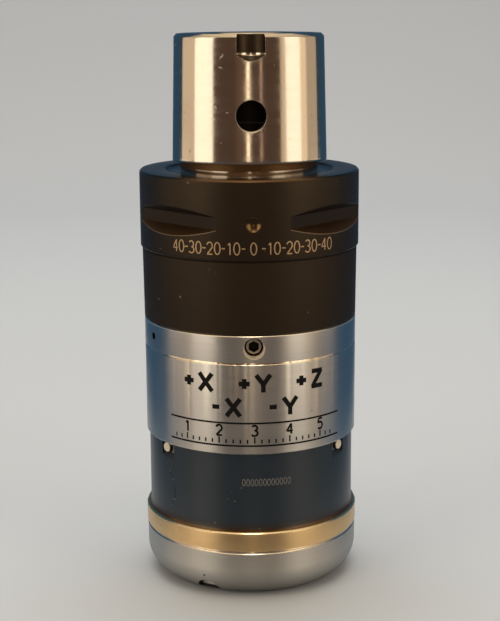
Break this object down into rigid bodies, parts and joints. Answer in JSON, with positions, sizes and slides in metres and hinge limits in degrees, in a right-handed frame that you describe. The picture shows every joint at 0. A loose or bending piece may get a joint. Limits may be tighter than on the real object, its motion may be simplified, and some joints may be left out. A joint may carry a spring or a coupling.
{
  "type": "touch probe",
  "caption": "Cylindrical radio touch probe on a polygon-taper tool holder, with a dark window, status lamps, a gold ring and a rounded front cover over a sprung stylus holder.",
  "frame": {"origin": "centre of the flat front face that the probe stands on", "axes": "+Z along the axis towards the shank, -Y towards the side with the side hole in the shank"},
  "size_m": [0.063, 0.063, 0.1575],
  "materials": {
    "blackened_steel": "black-oxide barrel and flange, ground bright shank",
    "brushed_steel": "turned and brushed round the axis",
    "dark_window": "dense dark polymer, semi-gloss",
    "lamp": "milky diffuser",
    "gold_ring": "satin gold-bronze, turned",
    "blasted_metal": "bead blasted, satin",
    "screw_steel": "plain dark steel",
    "rubber": "black rubber",
    "bright_steel": "ground",
    "alloy": "machined",
    "board_green": "solder mask",
    "black_plastic": "moulded",
    "copper": "copper strip",
    "cell_wrap": "shrink wrap"
  },
  "bodies": {
    "housing": {"tool_holder": "blackened_steel", "centring_screws": "screw_steel", "clamp_screws": "screw_steel", "mounting_collar": "brushed_steel", "collar_bolts": "screw_steel", "body_sleeve": "brushed_steel", "signal_window": "dark_window", "status_led_left": "lamp", "status_led_right": "lamp", "status_led_rear": "lamp", "clamp_ring": "gold_ring", "front_cover": "blasted_metal", "cover_seal": "rubber", "window_seal_front": "rubber", "window_seal_rear": "rubber", "chassis": "alloy", "antenna_ring": "copper", "main_board": "board_green", "board_parts": "black_plastic", "board_screws": "bright_steel", "battery_cassette": "black_plastic", "battery_1": "cell_wrap", "battery_2": "cell_wrap", "battery_contacts": "copper", "seat_plate": "bright_steel", "seat_balls": "bright_steel", "strain_gauges": "copper", "diaphragm_clamp": "alloy", "return_spring": "bright_steel", "spring_plug": "alloy"},
    "eyelid_spring": {"eyelid_spring": "bright_steel"},
    "diaphragm": {"outer_diaphragm": "rubber"},
    "eyelid": {"eyelid": "bright_steel"},
    "stylus_carrier": {"stylus_carrier": "bright_steel", "carrier_rollers": "bright_steel", "stylus_holder": "bright_steel"}
  },
  "joints": [
    {"name": "tilt_front", "type": "hinge", "parent": "housing", "child": "eyelid_spring", "pos_m": [0, 0.0042, 0.01899], "axis": [-1, 0, 0], "range_deg": [0, 15], "stiffness_Nm_per_rad": 0.4, "springref_deg": -22.92, "deforming": ["eyelid_spring", "outer_diaphragm", "return_spring"]},
    {"name": "tilt_right", "type": "hinge", "parent": "eyelid_spring", "child": "diaphragm", "pos_m": [-0.00364, -0.0021, 0.01899], "axis": [0.5, -0.866, 0], "range_deg": [0, 15], "stiffness_Nm_per_rad": 0.4, "springref_deg": -22.92, "deforming": ["eyelid_spring", "outer_diaphragm", "return_spring"]},
    {"name": "tilt_left", "type": "hinge", "parent": "diaphragm", "child": "eyelid", "pos_m": [0.00364, -0.0021, 0.01899], "axis": [0.5, 0.866, 0], "range_deg": [0, 15], "stiffness_Nm_per_rad": 0.4, "springref_deg": -22.92, "deforming": ["eyelid_spring", "outer_diaphragm", "return_spring"]},
    {"name": "plunge", "type": "slide", "parent": "eyelid", "child": "stylus_carrier", "axis": [0, 0, 1], "range_m": [0, 0.011], "stiffness_N_per_m": 400, "springref_m": -0.012, "deforming": ["eyelid_spring", "outer_diaphragm", "return_spring"]}
  ]
}
